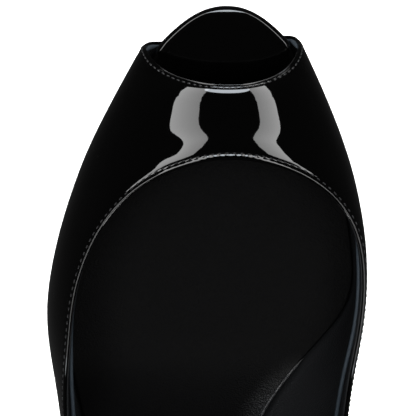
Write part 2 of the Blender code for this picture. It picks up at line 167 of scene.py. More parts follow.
# Girth of the last: widest points of its sides, and rises in hundredths of the instep
GIRTH = (
    # station, wide_lateral, wide_medial, rise_lateral, rise_medial, crest_rise
    (4.4, 24, 21.6, 23, 23, 56),
    (6.9, 27.8, 24.4, 26, 26, 66),
    (10.8, 33.6, 28.4, 30, 31, 77),
    (14.8, 39.2, 32.1, 35, 38, 89),
    (18.7, 44.4, 35.3, 40, 48, 100),
    (22.7, 47.9, 38.1, 43, 61, 109),
    (27.1, 50.6, 40.9, 46, 79, 119),
    (31, 51.8, 43.3, 48, 93, 127),
    (35, 51.5, 45.6, 51, 101, 136),
    (38.9, 50, 47.2, 56, 108, 149),
    (42.9, 46.7, 47.7, 65, 114, 169),
    (47.3, 42, 47.4, 76, 123, 205),
    (51.7, 37.5, 48.8, 93, 132, 252),
    (56.7, 34.8, 47.7, 106, 136, 291),
    (62.1, 33.3, 45.1, 109, 129, 315),
    (68, 33.1, 42.6, 103, 116, 318),
    (73.9, 33.6, 39.7, 93, 99, 315),
    (80.8, 34.3, 36.8, 83, 86, 305),
    (88.7, 35, 35.4, 73, 75, 291),
    (108.4, 35.3, 35.3, 66, 66, 255),
)

# Topline by reach along it: share of the half girth from the crest (0) to the widest point (1)
TOPLINE = (
    # reach, station, share_lateral, share_medial
    (0.0, 19.0, 0, 0),
    (0.1, 20.7, 0.245, 0.27),
    (0.2, 24.1, 0.43, 0.53),
    (0.3, 29.1, 0.545, 0.79),
    (0.4, 35.5, 0.6, 0.93),
    (0.5, 43.3, 0.61, 0.95),
    (0.6, 52.2, 0.82, 0.97),
    (0.7, 64, 0.925, 0.97),
    (0.8, 76.8, 0.86, 0.87),
    (0.87, 86.7, 0.775, 0.78),
    (0.94, 96.6, 0.712, 0.712),
    (1.0, 106.1, 0.7, 0.7),
)

# Stiffness of the battens that the curves are drawn with
STATION_STEP, REACH_STEP = 0.25, 0.0025
SLOPE_STIFFNESS, OUTLINE_STIFFNESS, GIRTH_STIFFNESS = 2.5, 4.0, 5.5
TOPLINE_STIFFNESS = 0.04
TREAD_TOLERANCE = 0.01

# Layers of the upper, as offsets out from the last
LEATHER_INNER = 0.2
LINING_OUTER, LINING_EDGE, LINING_INNER = 0.15, -0.25, 0.0
LINING_SETTLE = 1.0, 8.0  # distances from the topline over which the lining settles on the last
LINING_RECESS = 0.45  # the lining's cut edge lies this far below the folded edge
LINING_ROLL, LINING_ROLL_PLACE, LINING_ROLL_SPREAD = 0.7, 3.0, 1.8  # soft roll below that edge
TAPE_START = 0.33  # line where the lining's edge tape starts, each side of the throat
TAPE_INSET, TAPE_OFFSET = 2.2, -1.0
TAPE_DRIFT, WAIST_LINES = 0.8, (0.45, 0.62)  # how much further in it lies along the waist, and from where
CORNER_TAPE = 0.7, -0.25  # inset and offset of the tape in the toe opening's corners
CORNER_LINES = 0.45 * PEEP_SHARE, 0.95 * PEEP_SHARE
TOE_PIPING = 0.0, 1.05  # inset and offset of the piping under the toe opening's edge
TOE_PIPING_SHARE = 0.5  # share of the toe opening that it runs round
TAPE_RADIUS, CORNER_RADIUS, TOE_PIPING_RADIUS, TAPE_TAPER = 0.52, 0.6, 0.28, 6.0

# Stitching
STITCH_PITCH = {LOW: 1.5, TOP: 1.88}
STITCH_LENGTH = 1.08
STITCH_BLUNTNESS, STITCH_TIP = 6, 0.02
THREAD_RADIUS = 0.2
STITCH_LIFT, STITCH_DIVE, DIVE_POWER = {LOW: 0.4, TOP: 0.15}, 1.1, 4  # lift and dive in thread radii
STITCH_INSET = {LOW: 1.1, TOP: 1.6}
TOE_ROW_SHARE = 0.9  # share of the toe opening that its row runs round
TROUGH_DEPTH = {LOW: 0.13, TOP: 0.26}
TROUGH_SPREAD = {LOW: (0.26, 0.36), TOP: (0.22, 0.62)}  # away from the edge, and towards it
SIDE_INSET, SIDE_LINES = 0.98, (0.1, 0.26)  # the topline's row lies nearer the edge along the sides
SIDE_DEPTH, SIDE_SPREAD, SHALLOW_LINES = 0.08, 0.3, (0.09, 0.135)  # and its trough is shallower there
PUCKER = {LOW: 0.15, TOP: 0.1}  # how much deeper the trough is between stitches
THROAT_SWELL, SWELL_PLACE, SWELL_SPREAD = 0.45, 3.7, 3.4  # soft ridge in front of the throat's stitching
SWELL_WIDTH, SWELL_LINES = 24.0 * PER_WIDTH, (0.8 * PEEP_SHARE, 2 * PEEP_SHARE)
HOLLOW, HOLLOW_PLACE, HOLLOW_SPREAD = 0.2, (14.4, 36.4), 4.0  # soft hollow beside it, on the lateral side

# Bend of the upper into the toe opening, and its corners, which reach forward beside the lip
DOME_START, DOME_SPAN, DOME_DROP = 12.6 * PER_LENGTH, 4.4 * PER_LENGTH, 2.5
DOME_WIDTH = {LATERAL: 23.0 * PER_WIDTH, MEDIAL: 18.5 * PER_WIDTH}
TOE_BEND, TOE_BEND_SPAN, TOE_BEND_POWER = math.radians(50), 1.6, 1.6
TOE_BEND_LINES = 0.4 * PEEP_SHARE, PEEP_SHARE  # lines over which the bend runs out
TOE_EDGE_CREST = PEEP_CREST + 0.2
TOE_EDGE_SIDE = {LATERAL: 10.3, MEDIAL: 9.6}
TOE_EDGE_FOOT = {LATERAL: 9.2, MEDIAL: 7.7}
CORNER_SHARE = 0.6  # share of the wall below the widest point over which the edge comes to its foot

# Mesh density
LINES_PER_SIDE = 480
LOW_ROWS = 0.5, 0.62, 0.74, 0.86, 0.98, 1.1, 1.2, 1.3, 1.42, 1.55, 1.7, 2.0, 2.4, 3.0, 3.8, 5.0
TOP_ROWS = 0.5, 0.56, 0.64, 0.74, 0.86, 1.02, 1.2, 1.35, 1.5, 1.6, 1.7, 1.8, 1.92, 2.1, 2.4, 3.0, 3.8, 5.0
LINING_ROWS = 0.7, 0.95, 1.3, 1.7, 2.1, 2.5, 2.9, 3.3, 3.8, 4.4, 5.2
INNER_ROWS = np.array([0.5, 1.25, 2.2, 3.6, 5.0])
BETWEEN_ROWS, INNER_BETWEEN_ROWS = 24, 4
ROLL_STEPS, ROUND_STEPS, BEVEL_STEPS, BEND_SAMPLES = 6, 10, 3, 8
STITCH_SIDES, BEAD_SIDES = 8, 10
STITCH_RINGS = np.array([-1, -0.9, -0.6, -0.2, 0.2, 0.6, 0.9, 1])  # in half lengths of a stitch
PLATE_POINTS, PLATE_LOOPS, SOCK_LOOPS = 220, 12, 24
HEEL_SIDE_POINTS, HEEL_FRONT_POINTS, HEEL_ROWS, HEEL_ROW_POWER = 48, 16, 60, 1.2
TIP_POINTS = 49
WELD = 0.001

# Colours, and how glossy the sock is
PATENT_BLACK = 0.0002, 0.0002, 0.0002
LINING_BLACK = 0.0044, 0.0046, 0.005
SOCK_BLACK = 0.0014, 0.0014, 0.00145
PIPING_BLACK = 0.004, 0.004, 0.0045
THREAD_BLACK = 0.006, 0.006, 0.0064
SOLE_BLACK = 0.012, 0.0115, 0.011
RUBBER_BLACK = 0.012, 0.012, 0.012
# The tapes' light bluish greys are painted highlights: lighter than the lining, they stand in for the cool
# front light reflected off its rolled edge.
TAPE_HIGHLIGHT_GREY, CORNER_HIGHLIGHT_GREY = (0.009, 0.0125, 0.016), (0.024, 0.031, 0.038)
SOCK_GLOSS, POLISHED_GLOSS = 0.012, 0.24
POLISH = "polish"  # mesh attribute: how polished the sock is

# Camera
FRAME_WIDTH = 106.5  # across the photo's frame, at the height of the vamp
FRAME_CENTRE, FOCUS_HEIGHT, CAMERA_HEIGHT = (3.58, 51.7), 16.0, 3000.0
SENSOR = 36.0

# Strip lights, in metres
STRIP_EDGES = {LATERAL: (0.178, 0.432), MEDIAL: (0.205, 0.425)}  # distances from the middle
STRIP_FRONT, STRIP_BACK, STRIP_HEIGHT = {LATERAL: -2.7, MEDIAL: -3.8}, 0.4, 1
STRIP_RADIANCE, STRIP_GRADE = 6.6, (0.72, 1.16)  # grade: at a strip's inner and outer edges

# Soft boxes, in metres: place, size, target, radiance
BACK_BOX = (1.1, 1.1, 0.42), (0.8, 0.5), (0, 0, 0.05), 14.0
FRONT_PANEL = (0, -1.52, 0.72), (0.3, 0.48), (0, -0.08, 0.03), 9.6
OVERHEAD_FILL = (0, 0.15, 1.5), (1.0, 0.8), (0, 0.15, 0), 17.0
WHITE, COOL = (1, 1, 1), (0.86, 0.93, 1.0)

# Floor, in metres, and room
FLOOR_SIZE, FLOOR_GREY, FLOOR_GLOW = 12, (0.8, 0.8, 0.8), 0.8
WALL_GREY, CEILING_GREY = 0.034, 0.018
BACK_GREY, BACK_START = 0.22, 0.6  # added towards the back, from this y of a direction


class FairCurve:
    """A fair curve by a row of points: straight between them, then eased like a bent batten."""

    REACH = 4  # how far the easing reaches, in stiffnesses

    def __init__(self, stations, values, stiffness, step, even_start=False, even_end=True):
        self.stations = np.arange(stations[0], stations[-1] + step / 2, step)
        heights = np.interp(self.stations, stations, values)
        reach = int(self.REACH * stiffness / step)
        spread = np.arange(-reach, reach + 1) * step
        weights = np.exp(-0.5 * (spread / stiffness) ** 2)
        before = heights[reach:0:-1]
        after = heights[-2 : -reach - 2 : -1]
        if not even_start:
            before = 2 * heights[0] - before
        if not even_end:
            after = 2 * heights[-1] - after
        drawn = np.concatenate([before, heights, after])
        self.heights = np.convolve(drawn, weights / weights.sum(), "valid")

    def __call__(self, station):
        return np.interp(station, self.stations, self.heights)


def section_curve(table, column, scale, stiffness):
    """A column of a table of sections, times a scale, as a fair curve of the station."""
    stations = [row[0] * PER_LENGTH for row in table]
    values = [row[column] * scale for row in table]
    return FairCurve(stations, values, stiffness, STATION_STEP)


def topline_curve(column, scale, **ends):
    """A column of the topline's table, times a scale, as a fair curve of the reach along it."""
    reaches = [row[0] for row in TOPLINE]
    values = [row[column] * scale for row in TOPLINE]
    return FairCurve(reaches, values, TOPLINE_STIFFNESS, REACH_STEP, **ends)


def unit(vectors):
    """Vectors scaled to length one."""
    return vectors / np.maximum(np.linalg.norm(vectors, axis=-1, keepdims=True), 1e-12)


def smooth_step(value, start, end):
    """0 up to the start, 1 from the end on, and a smooth rise between them."""
    part = np.clip((value - start) / (end - start), 0, 1)
    return part * part * (3 - 2 * part)


def bell(distance, spread):
    """1 at no distance, falling off smoothly on both sides."""
    return np.exp(-((distance / spread) ** 2))


def run_along(points):
    """Distance run at each point of a path, or of each path in a stack."""
    steps = np.linalg.norm(np.diff(points, axis=-2), axis=-1)
    return np.concatenate([np.zeros_like(steps[..., :1]), np.cumsum(steps, axis=-1)], axis=-1)


def arc_points(centre, radius, first, second, turns):
    """Points round each centre, turned from a first direction towards a second one."""
    points = [centre + radius * (math.cos(turn) * first + math.sin(turn) * second) for turn in turns]
    return np.stack(points, axis=-2)


class Last:
    """The form the shoe is made on: its bottom, its outline and its girth."""

    NORMAL_STEP = 0.2, 0.004  # of station and share

    def __init__(self):
        self.spine_x = section_curve(FEATHER, 1, PER_WIDTH, OUTLINE_STIFFNESS)
        self.crest = section_curve(GIRTH, 5, PER_INSTEP, GIRTH_STIFFNESS)
        self.feather, self.wide, self.rise = {}, {}, {}
        for number, side in enumerate(SIDES):
            self.feather[side] = section_curve(FEATHER, 2 + number, PER_WIDTH, OUTLINE_STIFFNESS)
            self.wide[side] = section_curve(GIRTH, 1 + number, PER_WIDTH, GIRTH_STIFFNESS)
            self.rise[side] = section_curve(GIRTH, 3 + number, PER_INSTEP, GIRTH_STIFFNESS)
        self.lay_spine()
        self.lay_bottom()

    def lay_spine(self):
        """The line of section centres, which slows to a stop in the heel while the sections turn."""
        stations = np.arange(0, SPINE_LENGTH, STATION_STEP)
        turning = smooth_step(stations, HEEL_TURN_START, HEEL_TURN_END)
        self.spine_stations = stations
        self.spine_y = np.cumsum((1 - turning) * STATION_STEP) - STATION_STEP
        self.spine_angle = np.cumsum(turning * STATION_STEP) / HEEL_RADIUS
        self.back = float(np.interp(math.pi / 2, self.spine_angle, stations))

    def lay_bottom(self):
        """Height and lean of the sole's lower face, from its slope, the tread at zero."""
        slope = section_curve(SOLE_SLOPE, 1, 1, SLOPE_STIFFNESS)
        steps = np.tan(np.radians(slope.heights)) * STATION_STEP
        heights = np.cumsum(steps) - steps / 2
        heights = heights - heights.min()
        seat_back = self.plan(LATERAL, self.back, self.outline(LATERAL, self.back))[1]
        behind = slope.stations > slope.stations[heights.argmin()]
        heights[behind] *= HEEL_HEIGHT / np.interp(seat_back, slope.stations, heights)
        self.bottom_y = slope.stations
        self.bottom = np.where(heights < TREAD_TOLERANCE, 0.0, heights)
        self.lean = np.arctan(np.gradient(self.bottom, STATION_STEP))

    def level(self, y, above):
        """Height at a plan distance y of a face lying this far above the sole's lower face."""
        lean = np.interp(y, self.bottom_y, self.lean)
        return np.interp(y, self.bottom_y, self.bottom) + above / np.cos(lean)

    def outline(self, side, station):
        """Distance of the insole's edge from the spine, closing in a rounded tip at the toe."""
        closing = np.sqrt(np.clip(station / TOE_LIP, 0, 1))
        return self.feather[side](np.maximum(station, TOE_LIP)) * closing

    def plan(self, side, station, out):
        """Point in plan at a distance out from the spine."""
        angle = np.interp(station, self.spine_stations, self.spine_angle)
        x = self.spine_x(station) + side * np.cos(angle) * out
        y = np.interp(station, self.spine_stations, self.spine_y) + np.sin(angle) * out
        return x, y

    def rim(self, starts, count, overhang, above):
        """Path round the back of the bottom's edge, from a lateral station to a medial one."""
        sides = []
        for side in SIDES:
            stations = np.linspace(starts[side], self.back, count)
            x, y = self.plan(side, stations, self.outline(side, stations) + overhang)
            sides.append(np.stack([x, y, self.level(y, above)], axis=-1))
        return np.concatenate([sides[0], sides[1][-2::-1]])

    def crown(self, side, station, share):
        """Distance out and rise of the last above its widest point: an ellipse, a little squared."""
        mix = 0.5 + 0.5 * np.sin(math.pi / 2 * side * share)
        wide = mix * self.wide[LATERAL](station) + (1 - mix) * self.wide[MEDIAL](station)
        rise = mix * self.rise[LATERAL](station) + (1 - mix) * self.rise[MEDIAL](station)
        turn = math.pi / 2 * share
        out = (1 + SQUARENESS) * np.sin(turn) + SQUARENESS * np.sin(3 * turn)
        up = (1 + SQUARENESS) * np.cos(turn) - SQUARENESS * np.cos(3 * turn)
        return wide * out, rise + (self.crest(station) - rise) * up

    def turned_wall(self, side, station, along):
        """Distance out and rise below the widest point: 0 inner end of the margin, 1 widest point."""
        edge, wide, rise = self.outline(side, station), self.wide[side](station), self.rise[side](station)
        back = 1 - along
        weights = (back**3, 3 * along * back**2, 3 * along**2 * back, along**3)
        outs = (edge - MARGIN_TUCK, edge + MARGIN_ROUND, wide, wide)
        out = sum(weight * value for weight, value in zip(weights, outs))
        return out, weights[2] * MARGIN_FULLNESS * rise + weights[3] * rise

    def wall(self, side, station, share):
        """Points of the last by share of its half girth: 0 crest, 1 widest point, 2 inner end of margin."""
        edge = self.outline(side, station)
        crown_out, crown_up = self.crown(side, station, np.minimum(share, 1))
        turned_out, turned_up = self.turned_wall(side, station, np.clip(2 - share, 0, 1))
        above = share <= 1
        out = np.where(above, crown_out, turned_out)
        up = np.where(above, crown_up, turned_up)
        foot = np.where(above, edge, np.minimum(turned_out, edge))
        x, y = self.plan(side, station, out)
        foot_y = self.plan(side, station, foot)[1]
        return np.stack([x, y, self.level(foot_y, LAST_BOTTOM) + up], axis=-1)

    def outward(self, side, station, share):
        """Unit normals of the last at the same places."""
        step_station, step_share = self.NORMAL_STEP
        near = self.wall(side, station - step_station, share)
        far = self.wall(side, station + step_station, share)
        over = self.wall(side, station, np.minimum(share - step_share, 2 - 2 * step_share))
        under = self.wall(side, station, np.minimum(share + step_share, 2))
        return unit(np.cross(under - over, far - near) * side)


class Band:
    """The upper as a closed ring of lines on the last, from its lower edge (level 0) to its topline (1)."""

    FINE_LEVELS = np.linspace(0, 1, 161)
    EDGE_STEP, LEAST_SLANT = 0.02, 0.35

    def __init__(self, last):
        self.last = last
        self.top_station = topline_curve(1, PER_LENGTH, even_start=True, even_end=False)
        self.top_share = {LATERAL: topline_curve(2, 1), MEDIAL: topline_curve(3, 1)}
        steps = np.arange(LINES_PER_SIDE + 1) / LINES_PER_SIDE
        self.lines = {LATERAL: steps, MEDIAL: steps[-2:0:-1]}
        self.line = np.concatenate([self.lines[LATERAL], self.lines[MEDIAL]])
        self.ring = np.arange(len(self.line))
        self.side = np.where(self.ring <= LINES_PER_SIDE, LATERAL, MEDIAL)
        self.climb = run_along(self.place(np.tile(self.FINE_LEVELS, (len(self.line), 1)))[0])
        self.edges = {LOW: self.edge(LOW), TOP: self.edge(TOP)}

    def lower_edge(self, side, line):
        """Station and share of the lower edge: round the toe opening first, then along the insole."""
        along = np.clip((line - PEEP_SHARE) / (1 - PEEP_SHARE), 0, 1)
        share = np.minimum(2 * line / PEEP_SHARE, 2)
        drop = np.sin(math.pi / 2 * np.minimum(share, 1)) ** 2
        beside, foot = TOE_EDGE_SIDE[side], TOE_EDGE_FOOT[side]
        opening = TOE_EDGE_CREST + (beside - TOE_EDGE_CREST) * drop
        turn = np.clip((share - 1) / CORNER_SHARE, 0, 1)
        opening = opening + (foot - beside) * turn * (2 - turn)
        return opening + (self.last.back - foot) * along, share

    def upper_edge(self, side, line):
        """Station and share of the topline."""
        reach = THROAT_SPAN * np.minimum(line / PEEP_SHARE, 1)
        reach = reach + (1 - THROAT_SPAN) * np.maximum(line - PEEP_SHARE, 0) / (1 - PEEP_SHARE)
        return np.minimum(self.top_station(reach), self.last.back), self.top_share[side](reach)

    def place(self, level):
        """Points and normals of the last at a level on each line; level has a row for each line."""
        points, normals = [], []
        start = 0
        for side in SIDES:
            line = self.lines[side][:, None]
            levels = level[start : start + len(line)]
            start += len(line)
            low_station, low_share = self.lower_edge(side, line)
            top_station, top_share = self.upper_edge(side, line)
            station = low_station + (top_station - low_station) * levels
            share = low_share + (top_share - low_share) * levels
            points.append(self.last.wall(side, station, share))
            normals.append(self.last.outward(side, station, share))
        return np.concatenate(points), np.concatenate(normals)

    def edge(self, level):
        """Frame of an edge: points, normals, directions off the sheet, and each line's slant to them."""
        at_edge = np.full((len(self.line), 1), float(level))
        points, normals = (part[:, 0] for part in self.place(at_edge))
        inner = self.place(np.abs(at_edge - self.EDGE_STEP))[0][:, 0]
        along = unit(np.roll(points, -1, axis=0) - np.roll(points, 1, axis=0))
        off = unit(np.cross(along, normals))
        climb = unit(points - inner)
        dot = np.sum(off * climb, axis=1, keepdims=True)
        return points, normals, off * np.sign(dot), np.maximum(np.abs(dot), self.LEAST_SLANT)

    def level_at(self, distances, end):
        """Level on each line at distances square to one of its edges."""
        wanted = np.atleast_2d(distances) / self.edges[end][3]
        if end == TOP:
            wanted = self.climb[:, -1:] - wanted
        rows = [np.interp(row, climb, self.FINE_LEVELS) for row, climb in zip(wanted, self.climb)]
        return np.array(rows)

    def skin(self, low_rows, between, top_rows):
        """Points, normals and edge distances on rows near both edges and evenly between them."""
        low = self.level_at(low_rows, LOW)
        top = self.level_at(top_rows[::-1], TOP)
        shares = np.arange(1, between + 1) / (between + 1)
        middle = low[:, -1:] + (top[:, :1] - low[:, -1:]) * shares
        level = np.concatenate([low, middle, top], axis=1)
        rows = [np.interp(row, self.FINE_LEVELS, climb) for row, climb in zip(level, self.climb)]
        climb = np.array(rows)
        points, normals = self.place(level)
        from_low = climb * self.edges[LOW][3]
        from_top = (self.climb[:, -1:] - climb) * self.edges[TOP][3]
        return points, normals, from_low, from_top

    def toe_lines(self, share):
        """Numbers of the lines round the front of the toe opening, for a share of each half of it."""
        count = int(share * PEEP_SHARE * LINES_PER_SIDE)
        return np.concatenate([self.ring[-count:], self.ring[: count + 1]])


def world(points):
    """The last's millimetres as metres in the shoe's frame."""
    return (np.asarray(points).reshape(-1, 3) - ORIGIN) * MM


def grid_faces(columns, rows, closed_columns, closed_rows):
    """Quads of a grid whose points run row by row within each column."""
    column = np.arange(columns if closed_columns else columns - 1)[:, None]
    row = np.arange(rows if closed_rows else rows - 1)[None, :]
    next_column, next_row = (column + 1) % columns, (row + 1) % rows
    corners = (
        column * rows + row,
        next_column * rows + row,
        next_column * rows + next_row,
        column * rows + next_row,
    )
    return np.stack(corners, axis=-1).reshape(-1, 4)


def tube_faces(rings, sides):
    """Faces of a tube of rings, closed at both ends."""
    final = rings * sides
    caps = [list(range(sides)), list(range(final - sides, final))]
    return grid_faces(rings, sides, False, True).tolist() + caps


def block_faces(columns, rows):
    """Faces of a ring of upright columns, closed above and below."""
    caps = [list(range(first, columns * rows, rows)) for first in (0, rows - 1)]
    return grid_faces(columns, rows, True, False).tolist() + caps


def make_piece(name, points, faces, material, node=None):
    """A smooth mesh piece that moves with the shoe, welded where points meet."""
    mesh = bpy.data.meshes.new(name)
    mesh.from_pydata(world(points).tolist(), [], [list(map(int, face)) for face in faces])
    builder = bmesh.new()
    builder.from_mesh(mesh)
    bmesh.ops.remove_doubles(builder, verts=builder.verts[:], dist=WELD * MM)
    bmesh.ops.recalc_face_normals(builder, faces=builder.faces[:])
    builder.to_mesh(mesh)
    builder.free()
    mesh.shade_smooth()
    mesh.materials.append(material)
    piece = bpy.data.objects.new(name, mesh)
    bpy.context.scene.collection.objects.link(piece)
    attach(piece, "root")
    if node:
        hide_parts(node)
    return piece


# Materials


def new_material(name, colour, **values):
    """A Principled material with its plain values set on the shader's own sockets."""
    material = bpy.data.materials.new(name)
    material.use_nodes = True
    shader = material.node_tree.nodes["Principled BSDF"]
    shader.inputs["Base Color"].default_value = (*colour, 1)
    for socket, value in values.items():
        shader.inputs[socket.replace("_", " ")].default_value = value
    return material, material.node_tree, shader


def add_pattern(tree, kind, size, **values):
    """Outputs of a pattern in the shoe's own coordinates, with features of a size in millimetres."""
    place = tree.nodes.new("ShaderNodeTexCoord")
    pattern = tree.nodes.new(kind)
    pattern.inputs["Scale"].default_value = 1 / (size * MM)
    for socket, value in values.items():
        pattern.inputs[socket].default_value = value
    tree.links.new(place.outputs["Object"], pattern.inputs["Vector"])
    return pattern.outputs


def add_noise(tree, size, detail, roughness=0.5):
    """Cloudy noise."""
    return add_pattern(tree, "ShaderNodeTexNoise", size, Detail=detail, Roughness=roughness)["Fac"]


def add_cells(tree, size):
    """Cell pattern of leather grain."""
    return add_pattern(tree, "ShaderNodeTexVoronoi", size)["Distance"]


def add_bump(tree, height, depth, strength, under=None):
    """Bump of a depth in millimetres, on top of another one."""
    bump = tree.nodes.new("ShaderNodeBump")
    bump.inputs["Distance"].default_value = depth * MM
    bump.inputs["Strength"].default_value = strength
    tree.links.new(height, bump.inputs["Height"])
    if under:
        tree.links.new(under, bump.inputs["Normal"])
    return bump.outputs["Normal"]


def add_spread(tree, value, low, high, start=0):
    """A pattern's value, from a start to 1, mapped to a range."""
    spread = tree.nodes.new("ShaderNodeMapRange")
    spread.inputs["From Min"].default_value = start
    spread.inputs["To Min"].default_value = low
    spread.inputs["To Max"].default_value = high
    tree.links.new(value, spread.inputs["Value"])
    return spread.outputs["Result"]


def add_axis(tree, place, axis):
    """One axis of a place."""
    axes = tree.nodes.new("ShaderNodeSeparateXYZ")
    tree.links.new(place, axes.inputs["Vector"])
    return axes.outputs[axis]


def patent_leather(name, coat_roughness):
    """Black patent: a clear coat with a trace of orange peel."""
    coat = {"Coat_Weight": 1.0, "Coat_Roughness": coat_roughness, "Coat_IOR": 1.5}
    material, tree, shader = new_material(name, PATENT_BLACK, Roughness=0.5, Specular_IOR_Level=0.0, **coat)
    wave = add_bump(tree, add_noise(tree, size=9, detail=1), depth=0.02, strength=0.5)
    peel = add_bump(tree, add_noise(tree, size=0.9, detail=2), depth=0.002, strength=0.5, under=wave)
    tree.links.new(peel, shader.inputs["Normal"])
    tree.links.new(peel, shader.inputs["Coat Normal"])
    return material


def grained_leather(name, colour, roughness, gloss, grain):
    """Matt leather with a fine pebbled grain and a slightly uneven finish."""
    material, tree, shader = new_material(name, colour, Specular_IOR_Level=gloss)
    fine = add_noise(tree, size=grain * 0.6, detail=3, roughness=0.6)
    cells = add_bump(tree, add_cells(tree, size=grain), depth=0.16, strength=0.7)
    pores = add_bump(tree, fine, depth=0.12, strength=0.8, under=cells)
    swell = add_bump(tree, add_noise(tree, size=14, detail=2), depth=0.2, strength=0.3, under=pores)
    tree.links.new(swell, shader.inputs["Normal"])
    patches = add_noise(tree, size=8, detail=3)
    uneven = add_spread(tree, patches, low=roughness - 0.08, high=roughness + 0.08)
    tree.links.new(uneven, shader.inputs["Roughness"])
    return material


def sock_leather():
    """Black sock leather, polished along the edge at the arch."""
    material = grained_leather("sock_leather", SOCK_BLACK, roughness=0.3, gloss=SOCK_GLOSS, grain=0.5)
    tree = material.node_tree
    polish = tree.nodes.new("ShaderNodeAttribute")
    polish.attribute_name = POLISH
    gloss = add_spread(tree, polish.outputs["Fac"], SOCK_GLOSS, POLISHED_GLOSS)
    tree.links.new(gloss, tree.nodes["Principled BSDF"].inputs["Specular IOR Level"])
    return material


def thread(name, gloss):
    """Black twisted thread."""
    material, tree, shader = new_material(name, THREAD_BLACK, Roughness=0.4, Specular_IOR_Level=gloss)
    twist = add_bump(tree, add_noise(tree, size=0.18, detail=2), depth=0.02, strength=0.6)
    tree.links.new(twist, shader.inputs["Normal"])
    return material


def sole_leather():
    """Black sole leather, lightly polished."""
    material, tree, shader = new_material("sole_leather", SOLE_BLACK)
    fibres = add_bump(tree, add_noise(tree, size=0.5, detail=4, roughness=0.6), depth=0.03, strength=0.5)
    tree.links.new(fibres, shader.inputs["Normal"])
    uneven = add_spread(tree, add_noise(tree, size=6, detail=3), low=0.3, high=0.45)
    tree.links.new(uneven, shader.inputs["Roughness"])
    return material


def tip_rubber():
    """Matt black heel tip."""
    material, tree, shader = new_material("tip_rubber", RUBBER_BLACK)
    speckle = add_bump(tree, add_noise(tree, size=0.25, detail=3), depth=0.03, strength=0.6)
    tree.links.new(speckle, shader.inputs["Normal"])
    uneven = add_spread(tree, add_noise(tree, size=1.5, detail=2), low=0.5, high=0.7)
    tree.links.new(uneven, shader.inputs["Roughness"])
    return material


# Upper


def toe_dome(band, points):
    """How far the upper falls away towards the middle of the toe opening."""
    part = np.clip((DOME_START - points[..., 1:2]) / DOME_SPAN, 0, 1)
    beside = points[..., :1] - band.last.spine_x(DOME_START)
    beside = beside / np.where(beside > 0, DOME_WIDTH[LATERAL], DOME_WIDTH[MEDIAL])
    return DOME_DROP * part**3 * (4 - 3 * part) / (1 + beside**4)


def toe_bend(band, from_low):
    """Turn of the upper into the toe opening by distance from its edge: angle, drop and draw back."""
    fade = 1 - smooth_step(band.line, *TOE_BEND_LINES)
    run = np.maximum(TOE_BEND_SPAN - from_low, 0)[:, :, None]

    def turned(place):
        return TOE_BEND * fade[:, None, None] * (place / TOE_BEND_SPAN) ** TOE_BEND_POWER

    places, weights = np.polynomial.legendre.leggauss(BEND_SAMPLES)
    angles = turned(run * (1 + places) / 2)
    drop = np.sum(np.sin(angles) * weights, axis=2, keepdims=True) * run / 2
    reach = np.sum(np.cos(angles) * weights, axis=2, keepdims=True) * run / 2
    return turned(run), drop, run - reach


def bend_frame(band, points, normals, off, from_low):
    """Outer face, normals and directions off the sheet after the dome and the bend at the toe."""
    angle, drop, back = toe_bend(band, from_low)
    outer = points + normals * (WALL - drop) - off * back - toe_dome(band, points) * UP
    turned_normals = normals * np.cos(angle) + off * np.sin(angle)
    turned_off = off * np.cos(angle) - normals * np.sin(angle)
    return outer, turned_normals, turned_off


def lay_face(band, points, normals, from_low, offset):
    """Points and normals of a face of the upper at offsets out from the last."""
    off = band.edges[LOW][2][:, None, :]
    off = unit(off - normals * np.sum(off * normals, axis=2, keepdims=True))
    outer, turned, _ = bend_frame(band, points, normals, off, from_low)
    return outer + turned * (np.broadcast_to(offset, from_low.shape) - WALL)[:, :, None], turned


def toe_edge(band):
    """Frame of the toe opening's edge after the bend, its points on the outer face."""
    points, normals, off, _ = band.edges[LOW]
    at_edge = np.zeros((len(points), 1))
    bent = bend_frame(band, points[:, None], normals[:, None], off[:, None], at_edge)
    return [part[:, 0] for part in bent]


def topline_edge(band):
    """Frame of the topline, its points on the outer face."""
    points, normals, off, _ = band.edges[TOP]
    return points + normals * WALL, normals, off


def edge_roll(edge, outer, inner, recess):
    """Half round of an edge from its outer to its inner side, as rows of points for each line."""
    points, normals, off = edge
    radius = (outer - inner) / 2
    centre = points + normals * ((outer + inner) / 2 - WALL) - off * (radius + recess)
    turns = math.pi * np.arange(1, ROLL_STEPS) / ROLL_STEPS
    return arc_points(centre, radius, normals, off, turns)


